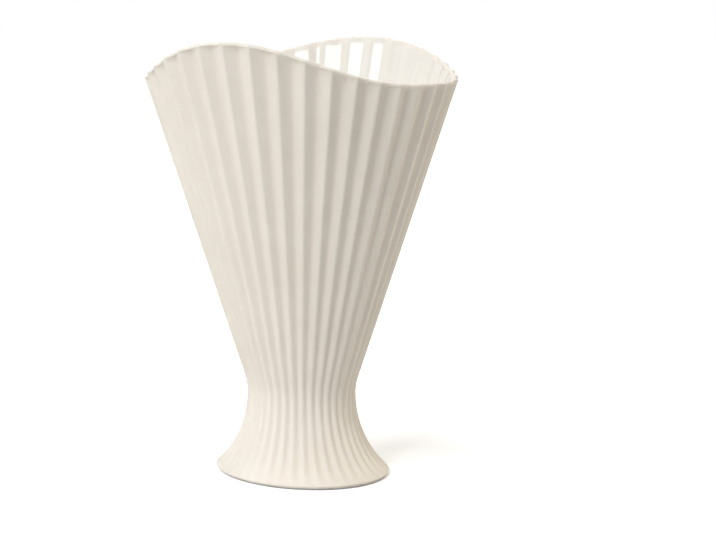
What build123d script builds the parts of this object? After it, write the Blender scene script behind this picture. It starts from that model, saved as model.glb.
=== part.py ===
from build123d import *
import os
from math import asin, atan2, cos, hypot, pi, radians, sin, sqrt, tan

# Fan vase with forty upright flutes, in millimetres.
# The origin is on the table, under the middle of the foot.
# X runs along the wide way of the oval plan, Y along the narrow way.

# Outline of the body
height = 300
rim_dip = 26.9
rim_front_sag = 7.3
rim_back_sag = 3.5
rim_long = 222.4
rim_short = 195.4
shoulder_radius = 40
waist_height = 56
waist_long = 79.6
waist_short = 67
foot_long = 127.8
foot_short = 102
foot_edge_radius = 2

# Flutes: depths are shares of the spacing between two crests
flute_count = 40
flute_depth_share = 0.21
flank_width_share = 0.35
flank_depth_share = 0.83
inside_flute_share = 0.55
lip_flute_share = 0.5
foot_flute_share = 0.1
lip_runout = 5
foot_runout = 10

# Wall, lip and floor
body_wall = 4
glaze_thickness = 0.4
floor_thickness = 5

# Underside and pads
foot_gap = 1
recess_depth = 3
foot_ring_width = 14
pad_count = 4
pad_turn = 45
pad_diameter = 8
pad_thickness = 2
pad_edge = 0.4
pad_clearance = 0.2

# Where the curved lower wall meets the straight upper wall
join_height = 76
join_step = 4
lower_ring_count = 9
lip_step_count = 4
edge_step_count = 2

# Levels and steps that follow from the sizes above
rim_low = height - rim_dip
edge_top = foot_gap + foot_edge_radius
floor_top = foot_gap + recess_depth + floor_thickness
glaze_top = floor_top + glaze_thickness
glaze_inset = body_wall + glaze_thickness
lip_radius = body_wall / 2
lining_join = join_height + join_step
hollow_join = lining_join + join_step
flute_step = 2 * pi / flute_count


def rim_height(angle):
    """Height of the wavy rim at an angle round the vase; its front sags more than its back."""
    sag = rim_front_sag if sin(angle) < 0 else rim_back_sag
    return height - rim_dip * cos(angle) ** 2 - sag * sin(2 * angle) ** 2


def wall_line(level, waist, foot, rim, rim_level, inset):
    """Half width of the wall at a level, less an inset measured square to the wall."""
    rise = level - waist_height
    if rise < 0:
        spread = (foot - waist) / 2
        fall = waist_height - edge_top
        flare_radius = (spread**2 + fall**2) / (2 * spread)
        reach = sqrt(flare_radius**2 - rise**2)
        return waist / 2 + flare_radius - reach - inset * flare_radius / reach
    across = (rim - waist) / 2 - shoulder_radius
    up = rim_level - waist_height
    lean = atan2(across, up) + asin(shoulder_radius / hypot(across, up))
    bend_rise = shoulder_radius * sin(lean)
    if rise < bend_rise:
        reach = sqrt(shoulder_radius**2 - rise**2)
        return waist / 2 + shoulder_radius - reach - inset * shoulder_radius / reach
    bend_width = waist / 2 + shoulder_radius * (1 - cos(lean))
    return bend_width + (rise - bend_rise) * tan(lean) - inset / cos(lean)


def ring_point(angle, level, inset, depth_share):
    """Place on a ring, drawn in by a share of the full flute depth."""
    long_half = wall_line(level, waist_long, foot_long, rim_long, rim_low, inset)
    short_half = wall_line(level, waist_short, foot_short, rim_short, height, inset)
    spacing = flute_step * (long_half + short_half) / 2
    depth = depth_share * flute_depth_share * spacing
    return (long_half - depth) * cos(angle), (short_half - depth) * sin(angle)


def draw_ring(level_at, inset, depth_share, lowered=0):
    """Draw a closed ring of flutes: two flat flanks and a round valley between crests."""

    def place(step, share):
        angle = step * flute_step
        level = level_at(angle)
        return *ring_point(angle, level, inset, share * depth_share), level - lowered

    for flute in range(flute_count):
        crest = place(flute, 0)
        valley_start = place(flute + flank_width_share, flank_depth_share)
        valley = place(flute + 1 / 2, 1)
        valley_end = place(flute + 1 - flank_width_share, flank_depth_share)
        next_crest = place((flute + 1) % flute_count, 0)
        Line(crest, valley_start)
        ThreePointArc(valley_start, valley, valley_end)
        Line(valley_end, next_crest)


def ring_at(level, inset, depth_share, lowered=0):
    """A level ring as a wire."""
    with BuildLine(mode=Mode.PRIVATE) as ring:
        draw_ring(lambda angle: level, inset, depth_share, lowered)
    return ring.wire()


def ring_below_rim(drop, inset, depth_share):
    """A wire that follows the rim at a steady drop below it."""
    with BuildLine(mode=Mode.PRIVATE) as ring:
        draw_ring(lambda angle: rim_height(angle) - drop, inset, depth_share)
    return ring.wire()


def foot_share(level):
    """How much of the full flute depth is left near the foot."""
    rise_share = (level - edge_top) / foot_runout
    return min(1, foot_flute_share + (1 - foot_flute_share) * rise_share)


def lower_sections(bottom, top, inset, flute_share):
    """Sections of the curved lower wall, from the foot through the waist."""
    sections = []
    for index in range(lower_ring_count):
        level = bottom + (top - bottom) * index / (lower_ring_count - 1)
        share = flute_share * foot_share(level)
        with BuildSketch(Plane.XY.offset(level)) as section:
            with BuildLine():
                draw_ring(lambda angle: level, inset, share, lowered=level)
            make_face()
        sections.append(section.sketch)
    return sections


# Fired clay body: foot, waist, fluted bowl and rounded lip
foot_rings = []
for index in range(edge_step_count + 1):
    turn = pi / 2 * (1 - index / edge_step_count)
    edge_inset = foot_edge_radius * (1 - cos(turn))
    edge_drop = foot_edge_radius * sin(turn)
    foot_rings.append(ring_at(edge_top, edge_inset, foot_flute_share, lowered=edge_drop))

body_rings = [
    ring_at(join_height, 0, 1),
    ring_below_rim(lip_radius + lip_runout, 0, 1),
]
for index in range(lip_step_count + 1):
    turn = pi * index / lip_step_count
    over_share = (1 - cos(turn)) / 2
    lip_inset = body_wall * over_share
    lip_drop = lip_radius * (1 - sin(turn))
    depth_share = lip_flute_share + (inside_flute_share - lip_flute_share) * over_share
    body_rings.append(ring_below_rim(lip_drop, lip_inset, depth_share))
body_rings.append(ring_at(lining_join, body_wall, inside_flute_share))

pad_turns = [radians(pad_turn) + 2 * pi * index / pad_count for index in range(pad_count)]
pad_reach_long = (foot_long - foot_ring_width) / 2 - foot_edge_radius / 2
pad_reach_short = (foot_short - foot_ring_width) / 2 - foot_edge_radius / 2
pad_places = [(pad_reach_long * cos(turn), pad_reach_short * sin(turn)) for turn in pad_turns]

with BuildPart() as vase_body:
    add(Solid.make_loft(foot_rings, ruled=True))
    loft(lower_sections(edge_top, join_height, 0, 1))
    add(Solid.make_loft(body_rings, ruled=True))
    cavity = lower_sections(floor_top, lining_join, body_wall, inside_flute_share)
    loft(cavity, mode=Mode.SUBTRACT)
    with BuildSketch(Plane.XY.offset(foot_gap)):
        Ellipse(foot_long / 2 - foot_ring_width, foot_short / 2 - foot_ring_width)
    extrude(amount=recess_depth, mode=Mode.SUBTRACT)
    with BuildSketch(Plane.XY.offset(foot_gap)):
        with Locations(*pad_places):
            Circle(pad_diameter / 2 + pad_clearance)
    extrude(amount=pad_thickness - foot_gap, mode=Mode.SUBTRACT)

# Clear glaze fused to the inside, from the floor to just under the lip
lining_rings = [
    ring_at(lining_join, body_wall, inside_flute_share),
    ring_below_rim(lip_radius, body_wall, inside_flute_share),
    ring_below_rim(lip_radius, glaze_inset, inside_flute_share),
    ring_at(hollow_join, glaze_inset, inside_flute_share),
]

with BuildPart() as glaze_lining:
    loft(lower_sections(floor_top, lining_join, body_wall, inside_flute_share))
    add(Solid.make_loft(lining_rings, ruled=True))
    hollow = lower_sections(glaze_top, hollow_join, glaze_inset, inside_flute_share)
    loft(hollow, mode=Mode.SUBTRACT)

# Soft pads let into the foot ring
foot_pads = []
for place in pad_places:
    with BuildPart() as foot_pad:
        with BuildSketch():
            with Locations(place):
                Circle(pad_diameter / 2)
        extrude(amount=pad_thickness)
        chamfer(foot_pad.faces().sort_by(Axis.Z)[0].edges(), length=pad_edge)
    foot_pads.append(foot_pad)

vase_body.part.label = "vase_body"
glaze_lining.part.label = "glaze_lining"

os.makedirs("parts", exist_ok=True)
export_step(vase_body.part, "parts/vase_body.step")
export_step(glaze_lining.part, "parts/glaze_lining.step")
for number, foot_pad in enumerate(foot_pads, start=1):
    foot_pad.part.label = f"foot_pad_{number}"
    export_step(foot_pad.part, f"parts/foot_pad_{number}.step")
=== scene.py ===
"""Looks of the fan vase: matt fluted stoneware outside, glossy glaze inside, soft pads under the foot."""

import logging
import math
from collections.abc import Callable, Sequence
from dataclasses import dataclass, field
from enum import Enum

import bmesh
import bpy
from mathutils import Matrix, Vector


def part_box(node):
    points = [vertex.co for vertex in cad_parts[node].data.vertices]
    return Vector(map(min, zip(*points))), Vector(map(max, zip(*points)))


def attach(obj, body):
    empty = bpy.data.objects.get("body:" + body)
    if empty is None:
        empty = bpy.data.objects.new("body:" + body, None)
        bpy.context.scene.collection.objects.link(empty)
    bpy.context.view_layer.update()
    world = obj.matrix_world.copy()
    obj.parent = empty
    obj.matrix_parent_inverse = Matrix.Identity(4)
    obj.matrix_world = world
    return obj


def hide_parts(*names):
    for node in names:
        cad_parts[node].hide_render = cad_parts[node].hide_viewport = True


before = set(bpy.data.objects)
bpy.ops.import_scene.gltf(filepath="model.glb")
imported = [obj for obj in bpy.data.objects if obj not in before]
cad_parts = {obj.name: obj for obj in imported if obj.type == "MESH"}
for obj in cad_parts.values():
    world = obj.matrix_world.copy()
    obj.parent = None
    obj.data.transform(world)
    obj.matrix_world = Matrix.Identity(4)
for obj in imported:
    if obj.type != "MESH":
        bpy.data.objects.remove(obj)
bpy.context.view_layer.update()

log = logging.getLogger("fan_vase")

BODY = "root"
TURN = 2 * math.pi
CREST_ATTRIBUTE = "crest"
RIM_ATTRIBUTE = "rim"
WARM_LIGHT = (1.09, 1.0, 0.82)


class Way(Enum):
    """The two ways across the oval plan."""

    LONG = "long"
    SHORT = "short"


@dataclass(frozen=True)
class VaseForm:
    """Sizes of the vase in metres, with the curves of its wall and rim.

    The long way of the oval plan lies along X. The rim is highest over the short way, along Y.
    """

    height: float = 0.300
    rim_dip: float = 0.0269
    rim_front_sag: float = 0.0073
    rim_back_sag: float = 0.0035
    rim_long: float = 0.2224
    rim_short: float = 0.1954
    shoulder_radius: float = 0.040
    waist_height: float = 0.056
    waist_long: float = 0.0796
    waist_short: float = 0.067
    foot_long: float = 0.1278
    foot_short: float = 0.102
    foot_edge_radius: float = 0.002
    foot_gap: float = 0.001
    foot_runout: float = 0.010
    foot_ring_width: float = 0.014
    recess_depth: float = 0.003
    body_wall: float = 0.004
    glaze_thickness: float = 0.0004
    floor_thickness: float = 0.005
    join_height: float = 0.076
    lining_join: float = 0.080
    lip_radius: float = 0.002
    lip_runout: float = 0.005
    lip_join: float = 0.0105

    @property
    def edge_top(self) -> float:
        """Level where the rounded foot edge ends."""
        return self.foot_gap + self.foot_edge_radius

    @property
    def floor_top(self) -> float:
        """Level of the clay floor inside."""
        return self.foot_gap + self.recess_depth + self.floor_thickness

    def rim_level(self, angle: float) -> float:
        """Height of the wavy rim.

        Args:
            angle: Place round the vase, in radians from the long axis.

        Returns:
            The height in metres.
        """
        dip = self.rim_dip * math.cos(angle) ** 2
        sag = self.rim_front_sag if math.sin(angle) < 0 else self.rim_back_sag
        return self.height - dip - sag * math.sin(2 * angle) ** 2

    def half_width(self, way: Way, level: float, inset: float = 0.0) -> float:
        """Half width of the wall at a level: an arc at the foot, an arc at the shoulder, then straight.

        Args:
            way: Which way across the oval plan.
            level: Height in metres.
            inset: Distance in from the outside, measured square to the wall.

        Returns:
            The half width in metres.
        """
        along = way is Way.LONG
        waist = (self.waist_long if along else self.waist_short) / 2
        foot = (self.foot_long if along else self.foot_short) / 2
        rim = (self.rim_long if along else self.rim_short) / 2
        rim_height = self.height - self.rim_dip if along else self.height
        rise = level - self.waist_height
        if rise < 0:
            spread = foot - waist
            fall = self.waist_height - self.edge_top
            flare = (spread**2 + fall**2) / (2 * spread)
            reach = math.sqrt(flare**2 - rise**2)
            return waist + flare - reach - inset * flare / reach
        across = rim - waist - self.shoulder_radius
        up = rim_height - self.waist_height
        lean = math.atan2(across, up) + math.asin(self.shoulder_radius / math.hypot(across, up))
        bend_rise = self.shoulder_radius * math.sin(lean)
        if rise < bend_rise:
            reach = math.sqrt(self.shoulder_radius**2 - rise**2)
            return waist + self.shoulder_radius - reach - inset * self.shoulder_radius / reach
        bend_width = waist + self.shoulder_radius * (1 - math.cos(lean))
        return bend_width + (rise - bend_rise) * math.tan(lean) - inset / math.cos(lean)


@dataclass(frozen=True)
class Flutes:
    """Cross-section of the flutes: flat flanks with a rounded valley, meeting in softened crests."""

    count: int = 40
    depth_share: float = 0.21
    valley_round: float = 0.3
    crest_half_width: float = 0.0014
    widest_crest: float = 0.3
    phases: tuple[float, ...] = (0.0, 0.03, 0.065, 0.11, 0.2, 0.31, 0.41, 0.5)

    @property
    def points_each(self) -> int:
        """Points on each flute."""
        return 2 * (len(self.phases) - 1)

    @property
    def points(self) -> int:
        """Points all round the vase."""
        return self.count * self.points_each

    def kind(self, number: int) -> int:
        """Which phase a point has, counted from the crest."""
        place = number % self.points_each
        return min(place, self.points_each - place)

    def angle(self, number: int) -> float:
        """Place of a point round the vase.

        Args:
            number: The point's number, from the crest on the long axis.

        Returns:
            The angle in radians.
        """
        place = number % self.points_each
        phase = self.phases[self.kind(number)]
        phase = phase if place <= self.points_each // 2 else 1 - phase
        return TURN * (number // self.points_each + phase) / self.count

    def arc(self, phase: float) -> tuple[float, float]:
        """Depth and slope of the flute before its crest is softened, as shares of its full depth.

        Args:
            phase: Place across the flute, 0 at the crest and 0.5 in the middle.

        Returns:
            The depth and its slope over the phase.
        """
        across = 1 - 2 * phase
        full = math.hypot(1, self.valley_round) - self.valley_round
        rise = math.hypot(1, self.valley_round) - math.hypot(across, self.valley_round)
        return rise / full, 2 * across / math.hypot(across, self.valley_round) / full

    def hollow(self, phase: float, spacing: float) -> float:
        """Depth of the flute with its crest rounded to a real width.

        Args:
            phase: Place across the flute, 0 at the crest and 0.5 in the middle.
            spacing: Distance between two crests in metres.

        Returns:
            The depth as a share of the full depth.
        """
        width = min(self.crest_half_width / spacing, self.widest_crest)
        if phase >= width:
            return self.arc(phase)[0]
        depth, slope = self.arc(width)
        return depth - slope * width / 2 * (1 - (phase / width) ** 2)


@dataclass(frozen=True)
class Ring:
    """A ring of the skin: its level, and the half widths of each kind of point."""

    level: float
    halves: tuple[tuple[float, float], ...]

    def towards(self, other: "Ring", share: float) -> "Ring":
        """A ring between this one and another at the same level.

        Args:
            other: The other ring.
            share: How much of the other ring it has.

        Returns:
            The ring between them.
        """
        pairs = zip(self.halves, other.halves)
        mixed = (tuple(own + (far - own) * share for own, far in zip(*pair)) for pair in pairs)
        return Ring(self.level, tuple(mixed))


@dataclass(frozen=True)
class RingMaker:
    """Works out rings from the vase's sizes and its flutes."""

    form: VaseForm
    flutes: Flutes

    def wall(self, level: float, inset: float, share: float, lift: float = 0.0) -> Ring:
        """A ring on the wall.

        Args:
            level: Height in metres.
            inset: Distance in from the outside, measured square to the wall.
            share: How much of the full flute depth the ring has.
            lift: How far the floor of the flute is raised, as a share of its depth.

        Returns:
            The ring.
        """
        long_half = self.form.half_width(Way.LONG, level, inset)
        short_half = self.form.half_width(Way.SHORT, level, inset)
        return self.oval(level, long_half, short_half, share, lift)

    def oval(
        self, level: float, long_half: float, short_half: float, share: float, lift: float = 0.0
    ) -> Ring:
        """An oval ring.

        Args:
            level: Height in metres.
            long_half: Half width the long way.
            short_half: Half width the short way.
            share: How much of the full flute depth the ring has.
            lift: How far the floor of the flute is raised, as a share of its depth.

        Returns:
            The ring.
        """
        spacing = TURN / self.flutes.count * (long_half + short_half) / 2
        halves = []
        for phase in self.flutes.phases:
            hollow = self.flutes.hollow(phase, spacing)
            hollow = max((1 - lift) * hollow, hollow - lift) if lift else hollow
            depth = share * self.flutes.depth_share * spacing * min(hollow, 1 - lift)
            halves.append((long_half - depth, short_half - depth))
        return Ring(level, tuple(halves))


Colour = tuple[float, float, float, float]
Inputs = dict[str | int, object]


@dataclass(frozen=True)
class Pattern:
    """A fine irregular pattern in a finish.

    It has a scale in cycles a metre, a number of finer layers and a stretch along each axis. It shows
    between its low and high values, as a share of another colour and as a relief with a depth in metres.
    """

    scale: float
    detail: float
    low: float = 0.0
    high: float = 1.0
    share: float = 0.0
    relief: float = 0.0
    depth: float = 0.0
    stretch: tuple[float, float, float] = (1, 1, 1)


class NodeSheet:
    """Short hand for laying out the nodes of a material or of the surroundings."""

    def __init__(self, owner: bpy.types.Material | bpy.types.World) -> None:
        """Start with no nodes.

        Args:
            owner: The material or the surroundings.
        """
        owner.use_nodes = True
        self.owner = owner
        self.tree = owner.node_tree
        self.tree.nodes.clear()

    def add(self, kind: str, inputs: Inputs | None = None, **settings: object) -> bpy.types.Node:
        """Add a node.

        Args:
            kind: Type name of the node.
            inputs: Values or output sockets for its inputs, by name or number.
            settings: Properties to set on the node first.

        Returns:
            The node.
        """
        node = self.tree.nodes.new(kind)
        for name, value in settings.items():
            setattr(node, name, value)
        for name, value in (inputs or {}).items():
            if isinstance(value, bpy.types.NodeSocket):
                self.tree.links.new(value, node.inputs[name])
            else:
                node.inputs[name].default_value = value
        return node

    def mark(self, name: str) -> bpy.types.NodeSocket:
        """Read one of the piece's own marks, such as how near a point is to the rim."""
        return self.add("ShaderNodeAttribute", attribute_name=name).outputs["Fac"]

    def noise(self, pattern: Pattern) -> bpy.types.NodeSocket:
        """Add a noise on the piece's own coordinates.

        Args:
            pattern: Its scale, detail and stretch.

        Returns:
            The noise's value.
        """
        place = self.add("ShaderNodeTexCoord").outputs["Object"]
        mapped = self.add("ShaderNodeMapping", {"Vector": place, "Scale": pattern.stretch}).outputs[0]
        inputs = {"Vector": mapped, "Scale": pattern.scale, "Detail": pattern.detail}
        return self.add("ShaderNodeTexNoise", inputs).outputs["Fac"]

    def spread(
        self, value: bpy.types.NodeSocket, low: float, high: float, to: tuple[float, float]
    ) -> bpy.types.NodeSocket:
        """Stretch a value from one range to another.

        Args:
            value: The value.
            low: Start of the range that it comes from.
            high: End of that range.
            to: Start and end of the new range.

        Returns:
            The stretched value.
        """
        inputs = {"Value": value, "From Min": low, "From Max": high, "To Min": to[0], "To Max": to[1]}
        return self.add("ShaderNodeMapRange", inputs).outputs[0]

    def blend(self, share: bpy.types.NodeSocket, first: object, second: object) -> bpy.types.NodeSocket:
        """Blend two colours.

        Args:
            share: How much of the second colour shows.
            first: First colour or socket.
            second: Second colour or socket.

        Returns:
            The blended colour.
        """
        # The node keeps sockets for every kind of value: these are its share and its two colours.
        mix = self.add("ShaderNodeMix", data_type="RGBA")
        for number, value in ((0, share), (6, first), (7, second)):
            if isinstance(value, bpy.types.NodeSocket):
                self.tree.links.new(value, mix.inputs[number])
            else:
                mix.inputs[number].default_value = value
        return mix.outputs[2]

    def mottle(
        self, noise: bpy.types.NodeSocket, pattern: Pattern, under: object, colour: Colour
    ) -> bpy.types.NodeSocket:
        """Lay a colour over another where a pattern shows.

        Args:
            noise: The pattern's noise.
            pattern: Where and how much it shows.
            under: Colour or socket that lies under it.
            colour: Colour that is laid on.

        Returns:
            The blended colour.
        """
        return self.blend(self.spread(noise, pattern.low, pattern.high, (0.0, pattern.share)), under, colour)

    def bump(
        self, noise: bpy.types.NodeSocket, pattern: Pattern, under: bpy.types.NodeSocket | None = None
    ) -> bpy.types.NodeSocket:
        """Add a bump.

        Args:
            noise: The pattern's noise, which gives the height.
            pattern: Its relief and real depth.
            under: A bump that lies under this one.

        Returns:
            The bumped normal.
        """
        inputs = {"Height": noise, "Strength": pattern.relief, "Distance": pattern.depth}
        if under is not None:
            inputs["Normal"] = under
        return self.add("ShaderNodeBump", inputs).outputs[0]

    def finish(self, surface: bpy.types.NodeSocket) -> bpy.types.Material:
        """Join the surface to the material's output.

        Args:
            surface: The shader.

        Returns:
            The finished material.
        """
        self.add("ShaderNodeOutputMaterial", {"Surface": surface})
        return self.owner


@dataclass(frozen=True)
class Stoneware:
    """Matt, dry, warm off-white stoneware; painted shade makes the valleys a little deeper, painted
    highlights make crests and lip paler.
    """

    light: Colour = (0.80, 0.755, 0.69, 1)
    deep: Colour = (0.73, 0.68, 0.605, 1)
    # Painted shade: the warmer, darker tone laid into the flute valleys.
    valley: Colour = (0.74, 0.68, 0.60, 1)
    # Painted highlight: the paler tone laid on the crests.
    crest: Colour = (0.84, 0.80, 0.74, 1)
    # Painted highlight: the near-white tone laid on the lip.
    lip: Colour = (0.87, 0.85, 0.81, 1)
    # How far towards the crests the painted valley shade reaches, and how strong it is.
    valley_shade_end: float = 0.6
    valley_shade_share: float = 0.35
    # Where the painted crest highlight starts, and how strong it is.
    crest_highlight_start: float = 0.85
    crest_highlight_share: float = 0.3
    # Where the painted lip highlight starts below the rim's top, and how strong it is.
    lip_start: float = 0.5
    lip_share: float = 0.35
    clouds: Pattern = Pattern(22, 4, low=0.35, high=0.68, share=0.55)
    streaks: Pattern = Pattern(
        320, 3, low=0.55, high=0.75, share=0.25, relief=0.25, depth=0.00012, stretch=(1, 1, 0.06)
    )
    grain: Pattern = Pattern(2600, 3, low=0.62, high=0.74, share=0.22, relief=0.3, depth=0.00005)
    pebbles: Pattern = Pattern(420, 4, low=0.3, high=0.7, relief=0.35, depth=0.00012)
    roughness: tuple[float, float] = (0.72, 0.86)
    refraction: float = 1.45
    shine: float = 0.3

    def material(self) -> bpy.types.Material:
        """Lay out the finish.

        Returns:
            The material.
        """
        sheet = NodeSheet(bpy.data.materials.new("matt_stoneware"))
        clouds, streaks = sheet.noise(self.clouds), sheet.noise(self.streaks)
        grain, pebbles = sheet.noise(self.grain), sheet.noise(self.pebbles)
        tone = sheet.mottle(clouds, self.clouds, self.light, self.deep)
        tone = sheet.mottle(streaks, self.streaks, tone, self.deep)
        tone = sheet.mottle(grain, self.grain, tone, self.deep)
        crest, rim = sheet.mark(CREST_ATTRIBUTE), sheet.mark(RIM_ATTRIBUTE)
        # Painted shade: the flute valleys are darkened in the colour.
        in_valley = sheet.spread(crest, 0.0, self.valley_shade_end, (self.valley_shade_share, 0.0))
        tone = sheet.blend(in_valley, tone, self.valley)
        # Painted highlight: the crests are lightened in the colour.
        crest_highlight = sheet.spread(crest, self.crest_highlight_start, 1.0, (0.0, self.crest_highlight_share))
        tone = sheet.blend(crest_highlight, tone, self.crest)
        # Painted highlight: the lip is lightened in the colour.
        lip_highlight = sheet.spread(rim, self.lip_start, 1.0, (0.0, self.lip_share))
        tone = sheet.blend(lip_highlight, tone, self.lip)
        rough = sheet.spread(pebbles, self.pebbles.low, self.pebbles.high, self.roughness)
        normal = sheet.bump(streaks, self.streaks)
        normal = sheet.bump(pebbles, self.pebbles, normal)
        normal = sheet.bump(grain, self.grain, normal)
        inputs = {"Base Color": tone, "Roughness": rough, "Normal": normal, "IOR": self.refraction}
        inputs["Specular IOR Level"] = self.shine
        return sheet.finish(sheet.add("ShaderNodeBsdfPrincipled", inputs).outputs[0])


@dataclass(frozen=True)
class Glaze:
    """Glossy off-white glaze, a little deeper where it pools in the valleys."""

    thin: Colour = (0.83, 0.80, 0.755, 1)
    pooled: Colour = (0.79, 0.765, 0.70, 1)
    pool_end: float = 0.5
    pool_share: float = 0.4
    clouds: Pattern = Pattern(30, 3, low=0.35, high=0.7, share=0.6)
    ripples: Pattern = Pattern(90, 2, relief=0.3, depth=0.00035, stretch=(1, 1, 0.35))
    pinholes: Pattern = Pattern(900, 2, low=0.3, high=0.75)
    roughness: tuple[float, float] = (0.05, 0.12)
    refraction: float = 1.52

    def material(self) -> bpy.types.Material:
        """Lay out the finish.

        Returns:
            The material.
        """
        sheet = NodeSheet(bpy.data.materials.new("clear_glaze"))
        clouds, ripples, pinholes = (sheet.noise(one) for one in (self.clouds, self.ripples, self.pinholes))
        tone = sheet.mottle(clouds, self.clouds, self.thin, self.pooled)
        in_valley = sheet.spread(sheet.mark(CREST_ATTRIBUTE), 0.0, self.pool_end, (self.pool_share, 0.0))
        tone = sheet.blend(in_valley, tone, self.pooled)
        rough = sheet.spread(pinholes, self.pinholes.low, self.pinholes.high, self.roughness)
        normal = sheet.bump(ripples, self.ripples)
        inputs = {"Base Color": tone, "Roughness": rough, "Normal": normal, "IOR": self.refraction}
        return sheet.finish(sheet.add("ShaderNodeBsdfPrincipled", inputs).outputs[0])


@dataclass(frozen=True)
class SoftPad:
    """Soft grey pad with a fine nap."""

    dark: Colour = (0.20, 0.19, 0.175, 1)
    pale: Colour = (0.34, 0.325, 0.30, 1)
    nap: Pattern = Pattern(1800, 5, low=0.3, high=0.7, share=1.0, relief=0.6, depth=0.0002)
    roughness: tuple[float, float] = (0.8, 0.95)

    def material(self) -> bpy.types.Material:
        """Lay out the finish.

        Returns:
            The material.
        """
        sheet = NodeSheet(bpy.data.materials.new("soft_pad"))
        nap = sheet.noise(self.nap)
        tone = sheet.mottle(nap, self.nap, self.dark, self.pale)
        rough = sheet.spread(nap, self.nap.low, self.nap.high, self.roughness)
        inputs = {"Base Color": tone, "Roughness": rough, "Normal": sheet.bump(nap, self.nap)}
        return sheet.finish(sheet.add("ShaderNodeBsdfPrincipled", inputs).outputs[0])


class Skin:
    """A skin of the vase that is grown ring by ring in edit mode."""

    least_turn = 1e-9
    ratio_digits = 9
    same_level = 1e-5
    above_base = 1e-4

    def __init__(self, name: str, form: VaseForm, flutes: Flutes, first: Ring) -> None:
        """Start the skin from one ring.

        Args:
            name: Name of the piece.
            form: Sizes of the vase.
            flutes: The flutes' cross-section.
            first: The ring to start from.
        """
        self.form = form
        self.flutes = flutes
        bpy.ops.object.select_all(action="DESELECT")
        bpy.ops.mesh.primitive_circle_add(vertices=flutes.points, radius=1.0, enter_editmode=True)
        bpy.ops.mesh.select_mode(type="VERT")
        self.piece = bpy.context.object
        self.piece.name = name
        self.mesh = bmesh.from_edit_mesh(self.piece.data)
        self.ring = Ring(0.0, tuple((1.0, 1.0) for _ in flutes.phases))
        self._spread_phases()
        self._shape(first)

    def _select(self, points: Sequence[bmesh.types.BMVert]) -> None:
        """Select some points and nothing else.

        Args:
            points: The points to select.
        """
        bpy.ops.mesh.select_all(action="DESELECT")
        for point in points:
            point.select_set(True)
        self.mesh.select_flush_mode()

    def _points(self) -> list[bmesh.types.BMVert]:
        """Put the selected ring's points in order.

        Returns:
            The points, round the vase from the crest on the long axis.
        """
        long_half, short_half = self.ring.halves[0]
        nudge = self.flutes.angle(1) / 2

        def place(point: bmesh.types.BMVert) -> float:
            """Place of a point round the vase, a little past its angle so that none falls short of 0."""
            angle = math.atan2(point.co.y / short_half, point.co.x / long_half)
            return (angle + nudge) % TURN

        return sorted((v for v in self.mesh.verts if v.select), key=place)

    def _spread_phases(self) -> None:
        """Move the even points of the first circle to their phases, close together at the crests."""
        even = TURN / self.flutes.points
        points = sorted(self.mesh.verts, key=lambda v: (math.atan2(v.co.y, v.co.x) + even / 2) % TURN)
        for place in range(self.flutes.points_each):
            turn = self.flutes.angle(place) - place * even
            if abs(turn) > self.least_turn:
                self._select(points[place :: self.flutes.points_each])
                bpy.ops.transform.rotate(value=-turn, orient_axis="Z", center_override=(0, 0, 0))
        self._select(points)

    def _shape(self, ring: Ring) -> None:
        """Resize and lift the selected ring until it is the given one.

        Args:
            ring: The ring to reach.
        """
        points = self._points()
        ratios: dict[tuple[float, ...], list[int]] = {}
        for kind, (new, old) in enumerate(zip(ring.halves, self.ring.halves)):
            ratio = tuple(round(after / before, self.ratio_digits) for after, before in zip(new, old))
            ratios.setdefault(ratio, []).append(kind)
        for (across, along), kinds in ratios.items():
            chosen = [v for n, v in enumerate(points) if self.flutes.kind(n) in kinds]
            if len(ratios) > 1:
                self._select(chosen)
            bpy.ops.transform.resize(value=(across, along, 1), center_override=(0, 0, 0))
        if len(ratios) > 1:
            self._select(points)
        bpy.ops.transform.translate(value=(0, 0, ring.level - self.ring.level))
        self.ring = ring

    def grow(self, *rings: Ring) -> None:
        """Extrude the selected ring into more rings, one after the other.

        Args:
            rings: The rings to reach.
        """
        for ring in rings:
            bpy.ops.mesh.extrude_region_move()
            self._shape(ring)

    def raise_wall(self, top: Ring, cuts: int) -> None:
        """Extrude the straight wall from the first ring and draw its top to the wavy rim.

        Args:
            top: The ring at the rim's highest point.
            cuts: How many rings divide the wall.
        """
        base = [v.co.copy() for v in self._points()]
        base_level = self.ring.level
        self.grow(top)
        points = self._points()
        for number, point in enumerate(points):
            dip = self.form.height - self.form.rim_level(self.flutes.angle(number))
            reach = (top.level - dip - base_level) / (top.level - base_level)
            if reach < 1:
                self._select([point])
                bpy.ops.transform.resize(value=(reach, reach, reach), center_override=base[number])
        bpy.ops.mesh.select_all(action="SELECT")
        bpy.ops.mesh.select_mode(type="EDGE")
        bpy.ops.mesh.select_all(action="DESELECT")
        for edge in self.mesh.edges:
            edge.select_set(len(edge.link_faces) == 2)
        bpy.ops.mesh.subdivide(number_cuts=cuts)
        bpy.ops.mesh.select_mode(type="VERT")
        self.take_end(lambda point: point.co.z > base_level + self.above_base)
        self.ring = top

    def take_end(self, where: Callable[[bmesh.types.BMVert], bool]) -> None:
        """Select an open end of the skin.

        Args:
            where: Says whether a point of an open end belongs to the wanted one.
        """
        self._select([v for v in self.mesh.verts if v.is_boundary and where(v)])

    def take_start(self, first: Ring) -> None:
        """Select the ring that the skin was started from."""
        self.take_end(lambda point: abs(point.co.z - first.level) < self.same_level)
        self.ring = first

    def close(self, shrinks: Sequence[float]) -> None:
        """Close the selected ring to a pole with smaller and smaller rings.

        Args:
            shrinks: Size of each ring as a share of the selected one.
        """
        start = self.ring
        for share in shrinks:
            halves = tuple((share * across, share * along) for across, along in start.halves)
            self.grow(Ring(start.level, halves))
        bpy.ops.mesh.extrude_region_move()
        bpy.ops.mesh.merge(type="CENTER")

    def leave(self) -> bpy.types.Object:
        """Leave edit mode.

        Returns:
            The piece.
        """
        bpy.ops.object.mode_set(mode="OBJECT")
        return self.piece


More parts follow.
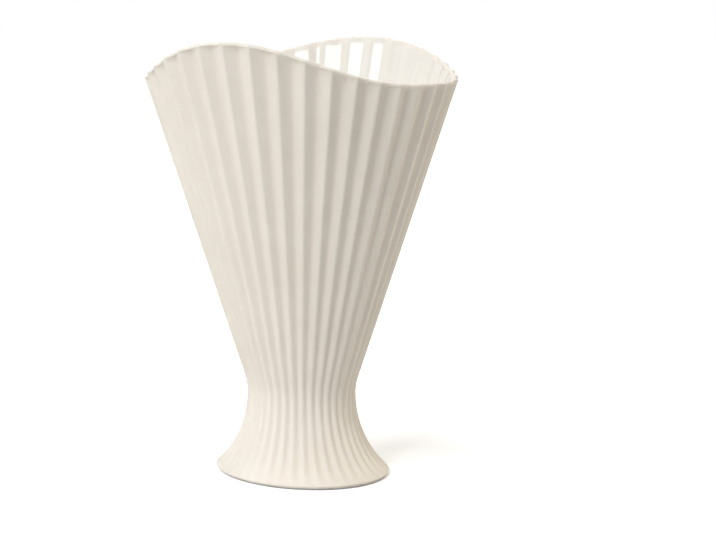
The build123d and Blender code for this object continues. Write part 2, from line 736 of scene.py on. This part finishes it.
def join_and_bridge(outer: bpy.types.Object, inner: bpy.types.Object, cuts: int) -> None:
    """Join two skins and bridge their open ends into one closed shell that faces outwards.

    Args:
        outer: The skin that stays.
        inner: The skin that is joined to it.
        cuts: How many rings divide the bridge.
    """
    bpy.ops.object.select_all(action="DESELECT")
    inner.select_set(True)
    outer.select_set(True)
    bpy.context.view_layer.objects.active = outer
    bpy.ops.object.join()
    bpy.ops.object.mode_set(mode="EDIT")
    bpy.ops.mesh.select_mode(type="EDGE")
    bpy.ops.mesh.select_all(action="DESELECT")
    for edge in bmesh.from_edit_mesh(outer.data).edges:
        edge.select_set(edge.is_boundary)
    bpy.ops.mesh.bridge_edge_loops(number_cuts=cuts)
    bpy.ops.mesh.select_all(action="SELECT")
    bpy.ops.mesh.normals_make_consistent(inside=False)
    if bmesh.from_edit_mesh(outer.data).calc_volume(signed=True) < 0:
        bpy.ops.mesh.flip_normals()
    bpy.ops.object.mode_set(mode="OBJECT")


def pad_nodes() -> list[str]:
    """Names of the pads' nodes.

    Returns:
        The names, in order.
    """
    return sorted(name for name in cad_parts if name.startswith("foot_pad"))


def spaced(start: float, end: float, count: int) -> list[float]:
    """Even steps from one value to another.

    Args:
        start: The value to start from, which is left out.
        end: The last value.
        count: How many values to give.

    Returns:
        The values.
    """
    return [start + (end - start) * (n + 1) / count for n in range(count)]


def mark_places(piece: bpy.types.Object, form: VaseForm, flutes: Flutes) -> None:
    """Store on each point how near it is to a crest and to the rim, for the finishes to read.

    Args:
        piece: The piece to mark.
        form: Sizes of the vase.
        flutes: The flutes' cross-section.
    """
    crest = piece.data.attributes.new(CREST_ATTRIBUTE, "FLOAT", "POINT")
    rim = piece.data.attributes.new(RIM_ATTRIBUTE, "FLOAT", "POINT")
    for point in piece.data.vertices:
        long_half = form.half_width(Way.LONG, point.co.z)
        short_half = form.half_width(Way.SHORT, point.co.z)
        angle = math.atan2(point.co.y / short_half, point.co.x / long_half)
        phase = (angle / TURN * flutes.count) % 1
        crest.data[point.index].value = abs(2 * phase - 1)
        drop = form.rim_level(angle) - point.co.z
        rim.data[point.index].value = max(0.0, 1 - drop / form.lip_runout)


@dataclass
class FlutedShell:
    """What the clay body and its glaze have in common: how a fluted skin is grown.

    Lengths are in metres, and shares are of the flutes' full depth unless they say otherwise.
    """

    form: VaseForm
    flutes: Flutes
    inside_share: float = 0.55
    foot_share: float = 0.1
    wall_cuts: int = 15
    waist_step: float = 0.003
    corner_radius: float = 0.006
    corner_steps: int = 6
    pole_shares: tuple[float, ...] = (0.75, 0.5, 0.25, 0.08)
    bridge_cuts: int = 1
    rings: RingMaker = field(init=False)

    def __post_init__(self) -> None:
        """Set up the ring maker."""
        self.rings = RingMaker(self.form, self.flutes)

    def inside_skin(self, name: str, inset: float, floor: float) -> Skin:
        """Grow an inside skin: the wall up to where its flutes end, and down to a closed floor.

        Args:
            name: Name of the piece.
            inset: Distance in from the outside.
            floor: Level of the floor.

        Returns:
            The skin, still in edit mode.
        """
        rings, form = self.rings, self.form
        first = rings.wall(form.lining_join, inset, self.inside_share)
        skin = Skin(name, form, self.flutes, first)
        skin.raise_wall(rings.wall(form.height - form.lip_join, inset, self.inside_share), self.wall_cuts)
        skin.take_start(first)
        corner_top = floor + self.corner_radius
        count = round((form.lining_join - corner_top) / self.waist_step)
        for level in spaced(form.lining_join, corner_top, count):
            skin.grow(rings.wall(level, inset, self.inside_share * self.foot_fade(level)))
        for turn in spaced(0, math.pi / 2, self.corner_steps):
            drawn_in = inset + self.corner_radius * (1 - math.cos(turn))
            level = corner_top - self.corner_radius * math.sin(turn)
            fade = self.foot_fade(level) * (1 - math.sin(turn))
            skin.grow(rings.wall(level, drawn_in, self.inside_share * fade))
        skin.close(self.pole_shares)
        return skin

    def foot_fade(self, level: float) -> float:
        """How much of the full flute depth is left near the foot.

        Args:
            level: Height in metres.

        Returns:
            The share, 1 well above the foot.
        """
        rise = min(1.0, max(0.0, (level - self.form.edge_top) / self.form.foot_runout))
        return self.foot_share + (1 - self.foot_share) * rise * rise * (3 - 2 * rise)


@dataclass
class ClayBody(FlutedShell):
    """The one fired clay piece: foot, waist, fluted bowl and lip."""

    finish: Stoneware = Stoneware()
    lip_share: float = 0.5
    lip_steps: int = 9
    runout_steps: int = 6
    recess_bevel: float = 0.0005
    pocket_clearance: float = 0.0002
    pocket_sides: int = 64

    def build(self) -> bpy.types.Object:
        """Model the body and dress it.

        Returns:
            The finished piece.
        """
        rings, form = self.rings, self.form
        first = rings.wall(form.join_height, 0, 1)
        skin = Skin("fluted_body", form, self.flutes, first)
        runout_start = form.height - form.lip_radius - form.lip_runout
        skin.raise_wall(rings.wall(runout_start, 0, 1), self.wall_cuts)
        skin.grow(*self._lip())
        skin.take_start(first)
        skin.grow(*self._waist_and_foot())
        skin.grow(*self._underside())
        skin.close(self.pole_shares)
        outer = skin.leave()
        inner = self.inside_skin("inside_of_body", form.body_wall, form.floor_top).leave()
        join_and_bridge(outer, inner, self.bridge_cuts)
        for node in pad_nodes():
            self._sink_pocket(outer, node)
        mark_places(outer, self.form, self.flutes)
        outer.data.materials.append(self.finish.material())
        return outer

    def _lip(self) -> list[Ring]:
        """Work out the rings of the lip.

        Returns:
            Rings from the end of the full flutes, over the rounded lip, to the shallower inside flutes.
        """
        form, made = self.form, []
        lip_start = form.height - form.lip_radius
        for rise in spaced(0, 1, self.runout_steps):
            lift = (1 - self.lip_share) * (1 - math.sqrt(1 - rise**2))
            made.append(self.rings.wall(lip_start - (1 - rise) * form.lip_runout, 0, 1, lift))
        for turn in spaced(0, math.pi, self.lip_steps):
            over = (1 - math.cos(turn)) / 2
            level = lip_start + form.lip_radius * math.sin(turn)
            outer = self.rings.wall(level, form.body_wall * over, 1, 1 - self.lip_share)
            inner = self.rings.wall(level, form.body_wall * over, self.inside_share)
            made.append(outer.towards(inner, over))
        return made

    def _waist_and_foot(self) -> list[Ring]:
        """Work out the rings below the shoulder.

        Returns:
            Rings down past the waist, over the flared foot and round its edge.
        """
        form, made = self.form, []
        count = round((form.join_height - form.edge_top) / self.waist_step)
        for level in spaced(form.join_height, form.edge_top, count):
            made.append(self.rings.wall(level, 0, self.foot_fade(level)))
        for turn in spaced(0, math.pi / 2, self.corner_steps):
            long_in = form.foot_long / 2 - form.foot_edge_radius * (1 - math.cos(turn))
            short_in = form.foot_short / 2 - form.foot_edge_radius * (1 - math.cos(turn))
            level = form.edge_top - form.foot_edge_radius * math.sin(turn)
            share = self.foot_share * (1 - math.sin(turn))
            made.append(self.rings.oval(level, long_in, short_in, share))
        return made

    def _underside(self) -> list[Ring]:
        """Work out the rings under the vase.

        Returns:
            Rings across the foot ring and up into the recess.
        """
        form = self.form
        long_in = form.foot_long / 2 - form.foot_ring_width
        short_in = form.foot_short / 2 - form.foot_ring_width
        soft = self.recess_bevel
        recess = form.foot_gap + form.recess_depth
        return [
            self.rings.oval(form.foot_gap, long_in + soft, short_in + soft, 0),
            self.rings.oval(form.foot_gap + soft, long_in, short_in, 0),
            self.rings.oval(recess - soft, long_in, short_in, 0),
            self.rings.oval(recess, long_in - soft, short_in - soft, 0),
        ]

    def _sink_pocket(self, body: bpy.types.Object, node: str) -> None:
        """Cut the shallow pocket that a pad lies in.

        Args:
            body: The clay body.
            node: The pad's node.
        """
        low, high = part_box(node)
        bpy.ops.object.select_all(action="DESELECT")
        bpy.ops.mesh.primitive_cylinder_add(
            vertices=self.pocket_sides,
            radius=(high.x - low.x) / 2 + self.pocket_clearance,
            depth=high.z,
            location=((low.x + high.x) / 2, (low.y + high.y) / 2, high.z / 2),
        )
        cutter = bpy.context.object
        bpy.context.view_layer.objects.active = body
        cut = body.modifiers.new("pocket", "BOOLEAN")
        cut.operation = "DIFFERENCE"
        cut.solver = "EXACT"
        cut.object = cutter
        bpy.ops.object.modifier_apply(modifier=cut.name)
        bpy.data.objects.remove(cutter)


@dataclass
class GlazeLining(FlutedShell):
    """The fired glaze inside, from the floor to the lip."""

    finish: Glaze = Glaze()
    edge_steps: int = 7
    smooth_angle: float = 50

    def build(self) -> bpy.types.Object:
        """Model the lining as a thin closed shell and dress it.

        Returns:
            The finished piece.
        """
        form = self.form
        inset = form.body_wall + form.glaze_thickness
        skin = self.inside_skin("glazed_inside", inset, form.floor_top + form.glaze_thickness)
        skin.take_end(lambda point: True)
        skin.ring = self.rings.wall(form.height - form.lip_join, inset, self.inside_share)
        skin.grow(*self._edge(inset))
        front = skin.leave()
        back = self.inside_skin("back_of_glaze", form.body_wall, form.floor_top).leave()
        join_and_bridge(front, back, self.bridge_cuts)
        mark_places(front, self.form, self.flutes)
        bpy.ops.object.shade_smooth_by_angle(angle=math.radians(self.smooth_angle))
        front.data.materials.append(self.finish.material())
        return front

    def _edge(self, inset: float) -> list[Ring]:
        """Work out the rings at the glaze's end.

        Returns:
            Rings that thin the glaze out where it meets the bare lip.
        """
        form, made = self.form, []
        top = form.height - form.lip_radius
        start = form.height - form.lip_join
        for rise in spaced(0, 1, self.edge_steps):
            thin = form.glaze_thickness * rise**self.edge_steps
            made.append(self.rings.wall(start + (top - start) * rise, inset - thin, self.inside_share))
        return made


@dataclass
class FootPads:
    """Four soft pads let into the foot ring."""

    finish: SoftPad
    edge: float = 0.0005
    edge_steps: int = 4
    sides: int = 64
    facing_down: float = -0.9
    level_face: float = 0.999
    smooth_angle: float = 40

    def build(self) -> list[bpy.types.Object]:
        """Model each pad where its node is, and dress it.

        Returns:
            The pads, in the order of their nodes.
        """
        material = self.finish.material()
        pads = []
        for node in pad_nodes():
            low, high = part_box(node)
            pad = self._model(f"soft_{node}", low, high)
            pad.data.materials.append(material)
            pads.append(pad)
        return pads

    def _model(self, name: str, low: Vector, high: Vector) -> bpy.types.Object:
        """Model one pad: a disc with a rounded lower edge.

        Args:
            name: Name of the piece.
            low: Lowest corner of its node.
            high: Highest corner of its node.

        Returns:
            The pad.
        """
        centre = (low + high) / 2
        bpy.ops.object.select_all(action="DESELECT")
        bpy.ops.mesh.primitive_cylinder_add(
            vertices=self.sides, radius=(high.x - low.x) / 2, depth=high.z - low.z, location=centre
        )
        pad = bpy.context.object
        pad.name = name
        bpy.ops.object.transform_apply(location=True, rotation=True, scale=True)
        bpy.ops.object.mode_set(mode="EDIT")
        bpy.ops.mesh.select_mode(type="FACE")
        bpy.ops.mesh.select_all(action="DESELECT")
        mesh = bmesh.from_edit_mesh(pad.data)
        for face in mesh.faces:
            face.select_set(face.normal.z < self.facing_down)
        bpy.ops.mesh.bevel(offset=self.edge, segments=self.edge_steps, affect="EDGES")
        bpy.ops.mesh.select_all(action="DESELECT")
        for face in bmesh.from_edit_mesh(pad.data).faces:
            face.select_set(abs(face.normal.z) > self.level_face)
        bpy.ops.mesh.inset(thickness=self.edge)
        bpy.ops.object.mode_set(mode="OBJECT")
        bpy.ops.object.shade_smooth_by_angle(angle=math.radians(self.smooth_angle))
        return pad


@dataclass(frozen=True)
class Softbox:
    """A flat studio lamp that shines at a point on the vase's axis.

    It stands turned round the vase and raised, both in degrees, and it has a size in metres and a power
    in watts. It may be seen by matt surfaces alone, or by glossy ones alone.
    """

    name: str
    turn: float
    rise: float
    width: float
    height: float
    power: float
    colour: tuple[float, float, float] = (1.0, 1.0, 1.0)
    lights: bool = True
    mirrored: bool = True
    away: float = 5.0
    aim_height: float = 0.16

    def build(self) -> None:
        """Set the lamp up."""
        turn, rise = math.radians(self.turn), math.radians(self.rise)
        back = Vector((math.sin(turn) * math.cos(rise), -math.cos(turn) * math.cos(rise), math.sin(rise)))
        lamp = bpy.data.lights.new(self.name, "AREA")
        lamp.shape = "RECTANGLE"
        lamp.size = self.width
        lamp.size_y = self.height
        lamp.energy = self.power
        lamp.color = self.colour
        holder = bpy.data.objects.new(self.name, lamp)
        bpy.context.scene.collection.objects.link(holder)
        holder.visible_diffuse = self.lights
        holder.visible_glossy = self.mirrored
        holder.location = Vector((0, 0, self.aim_height)) + back * self.away
        holder.rotation_euler = (-back).to_track_quat("-Z", "Y").to_euler()


@dataclass(frozen=True)
class Viewpoint:
    """The camera, set where the photograph was taken from: lengths in metres, angles in degrees."""

    away: float = 1.10696
    aside: float = 0.03963
    height: float = 0.32274
    turn: float = 28.31
    tilt: float = 9.28
    focal_pixels: float = 1621.99
    frame_pixels: float = 716
    sensor: float = 36
    nearest: float = 0.05
    farthest: float = 100

    def build(self) -> None:
        """Set the camera up and make it the scene's own."""
        turn, tilt = math.radians(self.turn), math.radians(self.tilt)
        forward = Vector((-math.sin(turn), math.cos(turn), 0))
        right = Vector((math.cos(turn), math.sin(turn), 0))
        data = bpy.data.cameras.new("photo_view")
        data.sensor_fit = "HORIZONTAL"
        data.sensor_width = self.sensor
        data.lens = self.sensor * self.focal_pixels / self.frame_pixels
        data.clip_start, data.clip_end = self.nearest, self.farthest
        camera = bpy.data.objects.new("photo_view", data)
        bpy.context.scene.collection.objects.link(camera)
        camera.location = right * self.aside - forward * self.away + Vector((0, 0, self.height))
        camera.rotation_euler = (math.pi / 2 - tilt, 0, turn)
        bpy.context.scene.camera = camera


@dataclass(frozen=True)
class Studio:
    """White floor, white surroundings and soft lamps.

    The floor glows less near the place where the shadow falls, so the lamps' shadow shows there, and glows
    fully further away, where its glow hides the shadows. It glows least under the foot's edge, a painted
    contact shadow. The vase is lit by the floor's bounce colour, while the camera sees its paper colour and
    its glow.
    """

    floor_size: float = 60
    bounce_colour: Colour = (0.80, 0.80, 0.80, 1)
    near_glow: float = 0.50
    far_glow: float = 1.0
    near_reach: float = 0.04
    far_reach: float = 0.14
    shadow_place: tuple[float, float, float] = (0.065, 0.058, 0.0)
    # Painted contact shadow: the floor's glow is dimmed where the floor is shut in under the foot's edge.
    contact_shadow_reach: float = 0.009
    contact_shadow_shut: float = 0.15
    contact_shadow_open: float = 0.6
    contact_shadow_glow: float = 0.25
    paper_colour: Colour = (0.66, 0.66, 0.66, 1)
    room_colour: Colour = (1.0, 1.0, 1.0, 1)
    lamps: tuple[Softbox, ...] = (
        Softbox("key", turn=-4, rise=45, width=2.0, height=2.0, power=109, mirrored=False),
        Softbox("high", turn=-32, rise=55, width=0.5, height=0.4, power=56),
        Softbox("near", turn=-7, rise=55, width=0.4, height=0.4, power=26, mirrored=False),
        Softbox("low", turn=-2, rise=30, width=0.5, height=0.5, power=32, mirrored=False),
        Softbox("left", turn=-72, rise=26, width=2.5, height=2.0, power=52, mirrored=False),
        Softbox("right", turn=116, rise=52, width=2.0, height=2.0, power=72, colour=WARM_LIGHT),
        Softbox("back", turn=146, rise=15, width=2.0, height=2.0, power=48, colour=WARM_LIGHT),
        Softbox("rear", turn=208, rise=25, width=2.0, height=2.0, power=34, mirrored=False),
        Softbox("window", turn=-4, rise=26, width=4.0, height=1.6, power=140, lights=False),
    )

    def build(self) -> None:
        """Set up floor, surroundings and lamps."""
        self._floor()
        self._room()
        for lamp in self.lamps:
            lamp.build()

    def _rays_that_see(self, sheet: NodeSheet) -> bpy.types.NodeSocket:
        """Add up the rays that see the surroundings as white.

        Args:
            sheet: Where the nodes go.

        Returns:
            1 for camera, glossy and transmission rays, otherwise 0.
        """
        path = sheet.add("ShaderNodeLightPath")
        total = path.outputs["Is Camera Ray"]
        for name in ("Is Glossy Ray", "Is Transmission Ray"):
            both = sheet.add("ShaderNodeMath", {0: total, 1: path.outputs[name]}, operation="MAXIMUM")
            total = both.outputs[0]
        return total

    def _floor(self) -> None:
        """Lay the floor, which glows towards the camera and still takes the shadow."""
        bpy.ops.object.select_all(action="DESELECT")
        bpy.ops.mesh.primitive_plane_add(size=self.floor_size)
        floor = bpy.context.object
        floor.name = "studio_floor"
        sheet = NodeSheet(bpy.data.materials.new("white_paper"))
        matt = sheet.add("ShaderNodeBsdfDiffuse", {"Color": self.bounce_colour}).outputs[0]
        place = sheet.add("ShaderNodeTexCoord").outputs["Object"]
        apart = {0: place, 1: self.shadow_place}
        away = sheet.add("ShaderNodeVectorMath", apart, operation="DISTANCE").outputs["Value"]
        strength = sheet.spread(away, self.near_reach, self.far_reach, (self.near_glow, self.far_glow))
        # Painted contact shadow: ambient occlusion dims the floor's glow under the foot's edge.
        open_above = sheet.add("ShaderNodeAmbientOcclusion", {"Distance": self.contact_shadow_reach})
        openness = open_above.outputs["AO"]
        lit = sheet.spread(openness, self.contact_shadow_shut, self.contact_shadow_open, (self.contact_shadow_glow, 1.0))
        strength = sheet.add("ShaderNodeMath", {0: strength, 1: lit}, operation="MULTIPLY").outputs[0]
        glow = sheet.add("ShaderNodeEmission", {"Strength": strength}).outputs[0]
        dimmed = sheet.add("ShaderNodeBsdfDiffuse", {"Color": self.paper_colour}).outputs[0]
        both = sheet.add("ShaderNodeAddShader", {0: dimmed, 1: glow}).outputs[0]
        seen = self._rays_that_see(sheet)
        mixed = sheet.add("ShaderNodeMixShader", {0: seen, 1: matt, 2: both}).outputs[0]
        floor.data.materials.append(sheet.finish(mixed))

    def _room(self) -> None:
        """Make the surroundings white for the camera and in the gloss, and dark for what they would light."""
        world = bpy.data.worlds.new("white_room")
        bpy.context.scene.world = world
        sheet = NodeSheet(world)
        inputs = {"Color": self.room_colour, "Strength": self._rays_that_see(sheet)}
        white = sheet.add("ShaderNodeBackground", inputs)
        sheet.add("ShaderNodeOutputWorld", {"Surface": white.outputs[0]})


def dress(piece: bpy.types.Object, node: str) -> None:
    """Let a piece stand for its CAD node.

    Args:
        piece: The finished piece.
        node: The node that it replaces.
    """
    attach(piece, BODY)
    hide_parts(node)
    log.info("%s stands for %s, with %d points", piece.name, node, len(piece.data.vertices))


def main() -> None:
    """Build the vase and its studio."""
    logging.basicConfig(level=logging.INFO, format="%(name)s: %(message)s")
    form, flutes = VaseForm(), Flutes()
    dress(ClayBody(form, flutes, finish=Stoneware()).build(), "vase_body")
    dress(GlazeLining(form, flutes, finish=Glaze()).build(), "glaze_lining")
    for node, pad in zip(pad_nodes(), FootPads(finish=SoftPad()).build()):
        dress(pad, node)
    Studio().build()
    Viewpoint().build()
    bpy.context.scene.view_settings.view_transform = "Standard"


if __name__ == "__main__":
    main()
